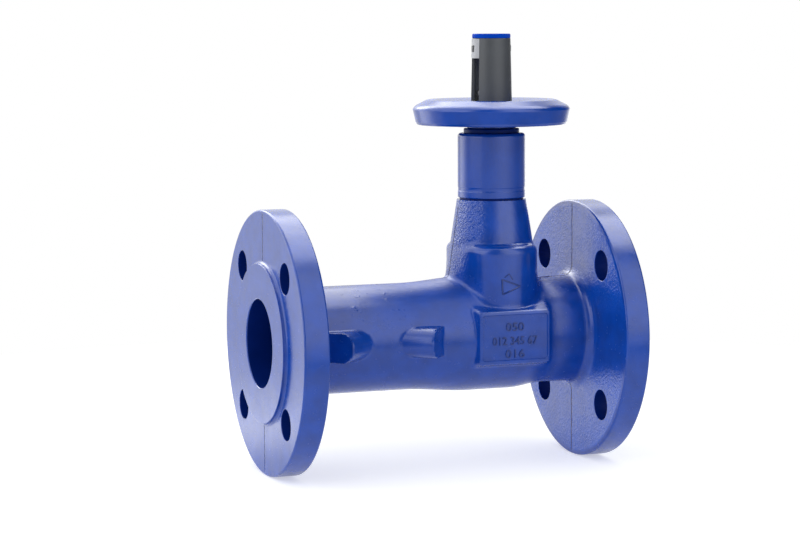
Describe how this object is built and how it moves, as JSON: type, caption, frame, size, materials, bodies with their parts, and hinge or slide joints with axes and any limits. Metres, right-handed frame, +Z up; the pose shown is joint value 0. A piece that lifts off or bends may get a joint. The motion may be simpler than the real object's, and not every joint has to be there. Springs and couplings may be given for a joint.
{
  "type": "flanged stop valve",
  "caption": "Flanged stop valve with a straight waterway, an inclined soft seat, a non-rising round handwheel on an upright bonnet, and a tube that shows the stem's lift.",
  "frame": {"origin": "centre of the inlet's raised sealing face", "axes": "+X along the pipe in the direction of flow, +Z up along the stem, -Y the side with the sensor bosses and the label pad"},
  "size_m": [0.23, 0.165, 0.2718],
  "materials": {
    "body_paint": "glossy blue enamel over a sand casting",
    "bonnet_paint": "smooth glossy blue enamel",
    "wheel_paint": "glossy blue enamel over a die casting",
    "rubber": "matt black sealing rubber",
    "plug_rubber": "satin moulded rubber",
    "brass": "turned",
    "washer_steel": "ground flat",
    "spring_steel": "dark, oiled",
    "stem_steel": "turned stainless steel",
    "plug_iron": "machined cast iron",
    "tube_plastic": "satin grey moulding",
    "cap_plastic": "bright blue moulding",
    "panel_film": "blank pale film",
    "disc_plastic": "black moulding"
  },
  "bodies": {
    "valve": {"valve_body": "body_paint", "bonnet": "bonnet_paint", "bonnet_o_ring": "rubber", "guide_bush": "brass", "lower_stem_seal": "rubber", "upper_stem_seal": "rubber", "lower_thrust_washer": "washer_steel", "upper_thrust_washer": "washer_steel", "retaining_collar": "bonnet_paint", "collar_o_ring": "rubber"},
    "wheel": {"stem_nut": "brass", "stem_wiper": "rubber", "handwheel": "wheel_paint", "wheel_circlip": "spring_steel", "indicator_tube": "tube_plastic", "blank_panel": "panel_film", "tube_cap": "cap_plastic"},
    "plug": {"stem": "stem_steel", "plug_core": "plug_iron", "plug_coating": "plug_rubber", "plug_pin": "stem_steel", "indicator_disc": "disc_plastic", "disc_screw": "stem_steel"}
  },
  "joints": [
    {"name": "handwheel_turn", "type": "hinge", "parent": "valve", "child": "wheel", "pos_m": [0.155, 0, 0.133], "axis": [0, 0, 1], "range_deg": [0, 1800]},
    {"name": "stem_lift", "type": "slide", "parent": "valve", "child": "plug", "axis": [0, 0, 1], "range_m": [0, 0.025]}
  ],
  "couplings": [
    {"joint": "stem_lift", "follows": "handwheel_turn", "m_per_rad": 0.00079577}
  ]
}
